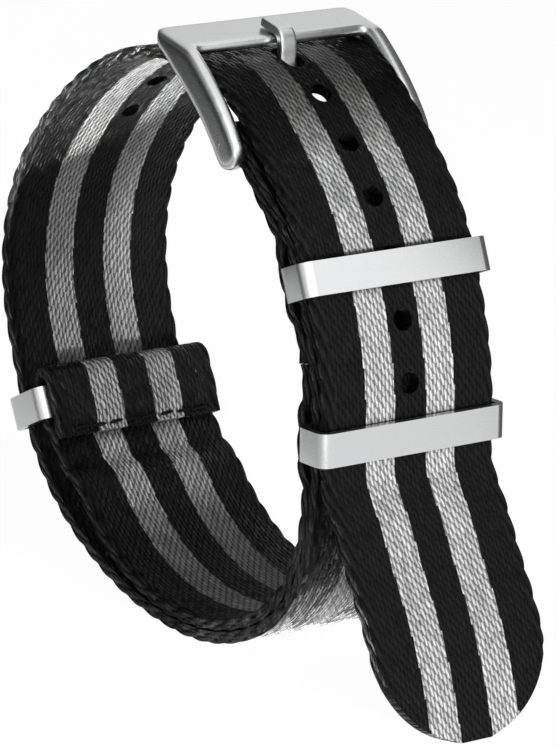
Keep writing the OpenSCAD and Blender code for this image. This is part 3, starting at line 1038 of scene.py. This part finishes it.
def tongue_over(depth):
    """Place on the tongue's middle line where it lies on the bar."""
    rise = (depth - bar_near_edge[0]) * math.tan(math.radians(BAR_SLOPE))
    return np.array([depth, bar_near_edge[1] + rise + (TONGUE / 2 + TONGUE_REST)
                     / math.cos(math.radians(BAR_SLOPE)), BAR_SLOPE])


near = bar_near_edge[0] - TONGUE / 2
tongue_row = route(
    np.array([0, eye_radius - 0.08, 0]),
    np.array([near - 0.65, tongue_hole[1] - pin[1], 76]),
    np.array([near - 0.35, bar_near_edge[1] - 0.15, 72]),
    tongue_over(bar_near_edge[0] + 1.5),
    tongue_over(bar_near_edge[0] + TONGUE_TIP),
    steps=8,
)
strip = beside(tongue_row, TONGUE / 2) + beside(tongue_row, -TONGUE / 2)[::-1]
tongue = slab("buckle_tongue_steel", strip, -TONGUE_WIDTH / 2, TONGUE_WIDTH / 2)
for radius, operation in ((eye_radius + TONGUE / 2, "UNION"), (PIN_RADIUS + PIN_FIT, "DIFFERENCE")):
    width = TONGUE_WIDTH * (1 if operation == "UNION" else 2)
    eye = add(bpy.ops.mesh.primitive_cylinder_add, "eye", vertices=40, radius=radius, depth=width,
              rotation=ACROSS)
    join_solid(tongue, settle(eye), operation)
modify(tongue, "REMESH", mode="VOXEL", voxel_size=TONGUE_GRAIN, use_smooth_shade=True)
modify(tongue, "SMOOTH", factor=0.5, iterations=TONGUE_ROUNDS)
into_place(tongue, pin)
report(tongue)

# %% [markdown]
# ## Stitching
# Each row of sewing is a line of short lockstitches, seen on both faces of the two layers. A stitch is
# a small rounded bar that dips at its ends, and no two lie quite alike.

# %% Rows of stitches
STITCH = 1.75
STITCH_GAP = 0.2
STITCH_THICK = 0.34
TACK_INSET = 1.5
TACK_EDGE = 0.5
TACK_WIDTH = 0.8
BLUNTNESS = 0.7
END_SAG = 0.05
WANDER = 0.04
LIFT = 0.02
chance = np.random.default_rng(7)


def stitch_row(name, at):
    """One row of stitches on both faces of two layers, as one piece."""
    length = WEBBING_WIDTH - 2 * TACK_INSET
    count = int(length / (STITCH + STITCH_GAP))
    step = length / count
    pieces = []
    for face in (-1, 1):
        for number in range(count):
            stitch = add(bpy.ops.mesh.primitive_uv_sphere_add, "stitch", segments=12, ring_count=8,
                         radius=0.5)
            table = spots(stitch)
            table[:, 0] = np.sign(table[:, 0]) * (2 * np.abs(table[:, 0])) ** BLUNTNESS / 2
            table *= (STITCH, STITCH_THICK, STITCH_THICK)
            table[:, 2] += END_SAG * (1 - (2 * table[:, 0] / STITCH) ** 2) * face
            turned = math.radians(chance.uniform(-5, 5) + 4 * face)
            table[:, 1] += table[:, 0] * math.tan(turned)
            middle = -length / 2 + step * (number + 0.5)
            table += (middle, chance.uniform(-WANDER, WANDER),
                      CLOSE_PITCH / 2 + face * (CLOSE_PITCH / 2 + WEBBING / 2 + LIFT))
            move_spots(stitch, table)
            pieces.append(stitch)
    only(pieces[0])
    for stitch in pieces:
        stitch.select_set(True)
    bpy.ops.object.join()
    row = only(named(name))
    bpy.ops.object.shade_smooth()
    return into_place(row, at)


tack_places = {
    "buckle_tack": place_on(front_row, upper_keeper_run / 2 - 1),
    "fold_end_tack": place_on(front_row, butt_run - BUTT_GAP / 2 - TACK_EDGE - TACK_WIDTH / 2),
    "short_strap_tack": place_on(front_row, butt_run + BUTT_GAP / 2 + TACK_EDGE + TACK_WIDTH / 2),
    "lower_keeper_tack": place_on(front_row, lower_keeper_run + KEEPER_ROOM + SHOULDER + TACK_WIDTH / 2),
    "watch_keeper_tack": in_fold(seam, seam_inner_side, 0),
}
stitches = {node: stitch_row(node + "_thread", at) for node, at in tack_places.items()}
report(stitches["buckle_tack"])

# %% [markdown]
# ## Satin steel
# The buckle and the rings are stainless steel with a satin polish: soft reflections and very fine marks
# across the strap, to which a stretched noise gives their direction. The thread is a black twist, and
# an even noise stands for its plies.

# %% Steel
MARKS_PER_METRE = (900, 9000, 9000)
MARK_DEPTH = 0.001
steel = Finish("satin_steel")
marks_at = steel.out("Mapping", steel.node("TexCoord").outputs["Object"], None, None, MARKS_PER_METRE)
marks = steel.out("TexNoise", marks_at, None, 1.0, 3.0, 0.6)
steel.shade(Base_Color=(0.66, 0.665, 0.67, 1), Metallic=1.0,
            Roughness=steel.ramp(marks, 0.3, 0.7, 0.26, 0.32, "LINEAR"))
steel.bump(marks, MARK_DEPTH * MM, 0.3)
for piece in (buckle, steel_pin, tongue, upper_ring, lower_ring, watch_ring):
    wear(piece, steel.material)
print("steel nodes:", len(steel.nodes))

# %% Thread
PLIES_PER_METRE = (4000, 4000, 4000)
thread = Finish("black_thread")
ply_at = thread.out("Mapping", thread.node("TexCoord").outputs["Object"], None, None, PLIES_PER_METRE)
ply = thread.out("TexNoise", ply_at)
thread.shade(Base_Color=thread.grey(thread.ramp(ply, 0.3, 0.7, 0.003, 0.012)), Roughness=0.5,
             Specular_IOR_Level=0.1)
for piece in stitches.values():
    wear(piece, thread.material)
print("thread nodes:", len(thread.nodes))

# %% [markdown]
# ## Floor
# The photograph has a white ground, and the camera sees that white with the strap's shadow. Polished
# steel shows what lies round it, so for glossy rays only, by Is Glossy Ray, the floor glows with a
# painted reflection: darker away from the strap and bright in a few soft fields, where no lamp or card
# lies. The cloth is lit by a plain floor.

# %% Floor
WHITE = (1, 1, 1, 1)
SEEN_LEVEL = 0.95
floor = add(bpy.ops.mesh.primitive_plane_add, "floor", size=6, location=(0, 0, 0))
ground = Finish("white_ground")
ground.shade(Base_Color=(0.8, 0.8, 0.8, 1), Roughness=0.9)
wear(floor, ground.material)
rays = ground.node("LightPath").outputs
floor_x, floor_y, _ = ground.node("SeparateXYZ", ground.node("TexCoord").outputs["Object"]).outputs
to_left = ground.minus(ground.times(floor_y, 0.5), floor_x)


def painted_glow(low_x, high_x, low_y, high_y, level, soft=0.006):
    """A soft-edged bright field that the floor emits for reflections, painted light with no lamp or card
    behind it.
    """
    field = level
    for along, low, high in ((floor_x, low_x, high_x), (floor_y, low_y, high_y)):
        field = ground.times(field, ground.ramp(along, low - soft, low))
        field = ground.times(field, ground.ramp(along, high + soft, high))
    return field


# Painted reflection: the floor's levels and bright fields, seen only by glossy rays.
front_level = ground.ramp(to_left, -0.06, 0.03, 1.0, 0.8)
near_level = ground.ramp(to_left, 0.074, 0.082, front_level, 0.2)
side_level = ground.ramp(to_left, 0.105, 0.12, near_level, 1.2)
painted_reflection_level = ground.ramp(to_left, 0.148, 0.154, side_level, 0.02)
painted_glow_levels = ground.plus(painted_glow(-0.016, 0.008, -0.02, -0.004, 3.0),
                          painted_glow(-3.0, -0.2, -3.0, 0.06, 0.7, 0.05))
mirrored = ground.out("Emission", WHITE, ground.plus(painted_reflection_level, painted_glow_levels))
seen = ground.out("Emission", WHITE, SEEN_LEVEL)
paper = ground.out("BsdfDiffuse", (0.3, 0.3, 0.3, 1))
lit = ground.out("MixShader", rays["Is Glossy Ray"], ground.shader.outputs[0], mirrored)
shown = ground.out("MixShader", rays["Is Camera Ray"], lit, ground.out("AddShader", seen, paper))
ground.links.new(shown, ground.nodes["Material Output"].inputs[0])
print("floor nodes:", len(ground.nodes))

# %% [markdown]
# ## World
# A studio's soft light comes from a few sides, so each level rises towards one direction. The cloth
# gets a dim share of it. What metal mirrors is brighter, most of all on the right, with a card on the
# left and one high in front. The camera itself sees plain white behind the strap.

# %% World
LIGHT_FROM = (0.3, -0.7, -0.65)
LEFT_CARD_FROM = (-0.8, -0.55, 0.25)
HIGH_CARD_FROM = (0.0, -0.62, 0.65)
MIRROR_FROM = (1, -0.45, 0.3)
world = bpy.data.worlds.new("studio")
scene.world = world
world.use_nodes = True
sky = Nodes(world.node_tree)
ray_direction = sky.node("TexCoord").outputs["Generated"]


def sky_ramp(side, low, high, dim, bright):
    """A level that rises from dim to bright as a ray turns towards one side."""
    toward = sky.node("VectorMath", ray_direction, Vector(side).normalized(),
                      operation="DOT_PRODUCT").outputs["Value"]
    return sky.ramp(toward, low, high, dim, bright)


rays = sky.node("LightPath").outputs
soft = sky_ramp(LIGHT_FROM, -0.8, 0.95, 0.01, 0.16)
left_card = sky_ramp(LEFT_CARD_FROM, 0.5, 0.95, 0, 0.8)
high_card = sky_ramp(HIGH_CARD_FROM, 0.8, 0.97, 0, 0.9)
mirror = sky.plus(sky_ramp(MIRROR_FROM, -0.5, 0.9, 0.1, 1.25), sky.plus(left_card, high_card))
level = sky.out("Mix", rays["Is Glossy Ray"], None, soft, mirror)
level = sky.out("Mix", rays["Is Camera Ray"], None, level, 1.0)
backdrop = sky.nodes["Background"].inputs
sky.put(backdrop["Color"], WHITE)
sky.put(backdrop["Strength"], level)
print("world nodes:", len(sky.nodes))

# %% [markdown]
# ## Lamps and cards
# A large lamp in front gives the strap its light and its soft shadow, a weak one fills the left, and
# one behind lights the back. Two cards, as a photographer has them, stay out of the picture: a flag
# shades the top of the front, and a dark card gives the metal's right edges a dark line against the
# white. Four small lamps with snoots light the inside and the foot of the loop.

# %% Large lamps
AIM = (0, 0, 0.03)


def lamp(kind, at, aim, power, **values):
    """A lamp turned to its aim. Both places are in metres."""
    bpy.ops.object.light_add(type=kind, location=at)
    made = bpy.context.object
    made.data.energy = power
    for key, value in values.items():
        setattr(made.data, key, value)
    made.rotation_euler = (Vector(aim) - made.location).to_track_quat("-Z", "Y").to_euler()
    return made


lamp("AREA", (0.05, -0.72, 0.05), AIM, 6.0, size=0.14).visible_glossy = False
lamp("AREA", (-0.3, -0.4, 0.06), AIM, 0.9, size=0.3)
lamp("AREA", (-0.35, 0.55, 0.06), AIM, 1.2, size=0.2).visible_glossy = False

# %% Flag and dark card
CARD = 0.1


def card(name, at, turn, depth_share=1.0):
    """A square card, or a shallower one, at its place in metres."""
    made = add(bpy.ops.mesh.primitive_plane_add, name, size=CARD, location=at, rotation=turn)
    bpy.ops.transform.resize(value=(1, depth_share, 1))
    return settle(made)


flag = card("flag", (0.005, -0.035, 0.1045), (math.pi / 2, 0, 0))
flag.visible_camera = flag.visible_glossy = flag.visible_diffuse = False

dark_card = card("dark_card", (0.03, -0.012, 0.05), ACROSS, 0.6)
dark_card.visible_camera = dark_card.visible_diffuse = dark_card.visible_shadow = False
board = Finish("black_board")
board.shade(Base_Color=(0.0, 0.0, 0.0, 1), Roughness=1.0, Specular_IOR_Level=0.0,
            Emission_Color=WHITE, Emission_Strength=0.14)
wear(dark_card, board.material)
print("cards:", flag.name, "and", dark_card.name)

# %% Small lamps with snoots
SNOOT_EDGE = 0.5
SNOOT_RADIUS = 0.002


def snooted_lamp(at, aim, power, cone):
    """A small lamp close to the cloth. Both places are in millimetres."""
    return lamp("SPOT", Vector(at) * MM, Vector(aim) * MM, power, spot_size=math.radians(cone),
                spot_blend=SNOOT_EDGE, shadow_soft_size=SNOOT_RADIUS)


snooted_lamp((-45, 47, 9), (-5, 22, 49), 0.7, 26).visible_glossy = False
snooted_lamp((-45, 47, 9), (-5, 22, 49), 1.5, 26).visible_diffuse = False
snooted_lamp((-60, -45, 4), (-8, -14, 8), 0.8, 25).visible_diffuse = False
snooted_lamp((-70, -40, 24), (0, 21, 20), 0.15, 20)

# %% [markdown]
# ## Bodies
# Every finished piece rides on the rigid body that its CAD solid belongs to and stands in its place, so
# it moves with the joints. The webbing and its stitches are the strap's, the frame and the pin turn as
# one, and the tongue and the three rings each move alone.

# %% Each piece rides on its body
def stand_for(piece, node, body):
    """Puts a piece on its body, in the place of its solid, and hides the solid."""
    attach(piece, body)
    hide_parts(node)


stand_for(main_strap, "main_strap", "strap")
stand_for(short_strap, "short_strap", "strap")
for node, row in stitches.items():
    stand_for(row, node, "strap")
stand_for(buckle, "buckle_frame", "buckle")
stand_for(steel_pin, "buckle_pin", "buckle")
stand_for(tongue, "buckle_tongue", "tongue")
stand_for(upper_ring, "upper_keeper", "upper_ring")
stand_for(lower_ring, "lower_keeper", "lower_ring")
stand_for(watch_ring, "watch_keeper", "watch_ring")

# %% Finish
scene.view_settings.view_transform = "Standard"
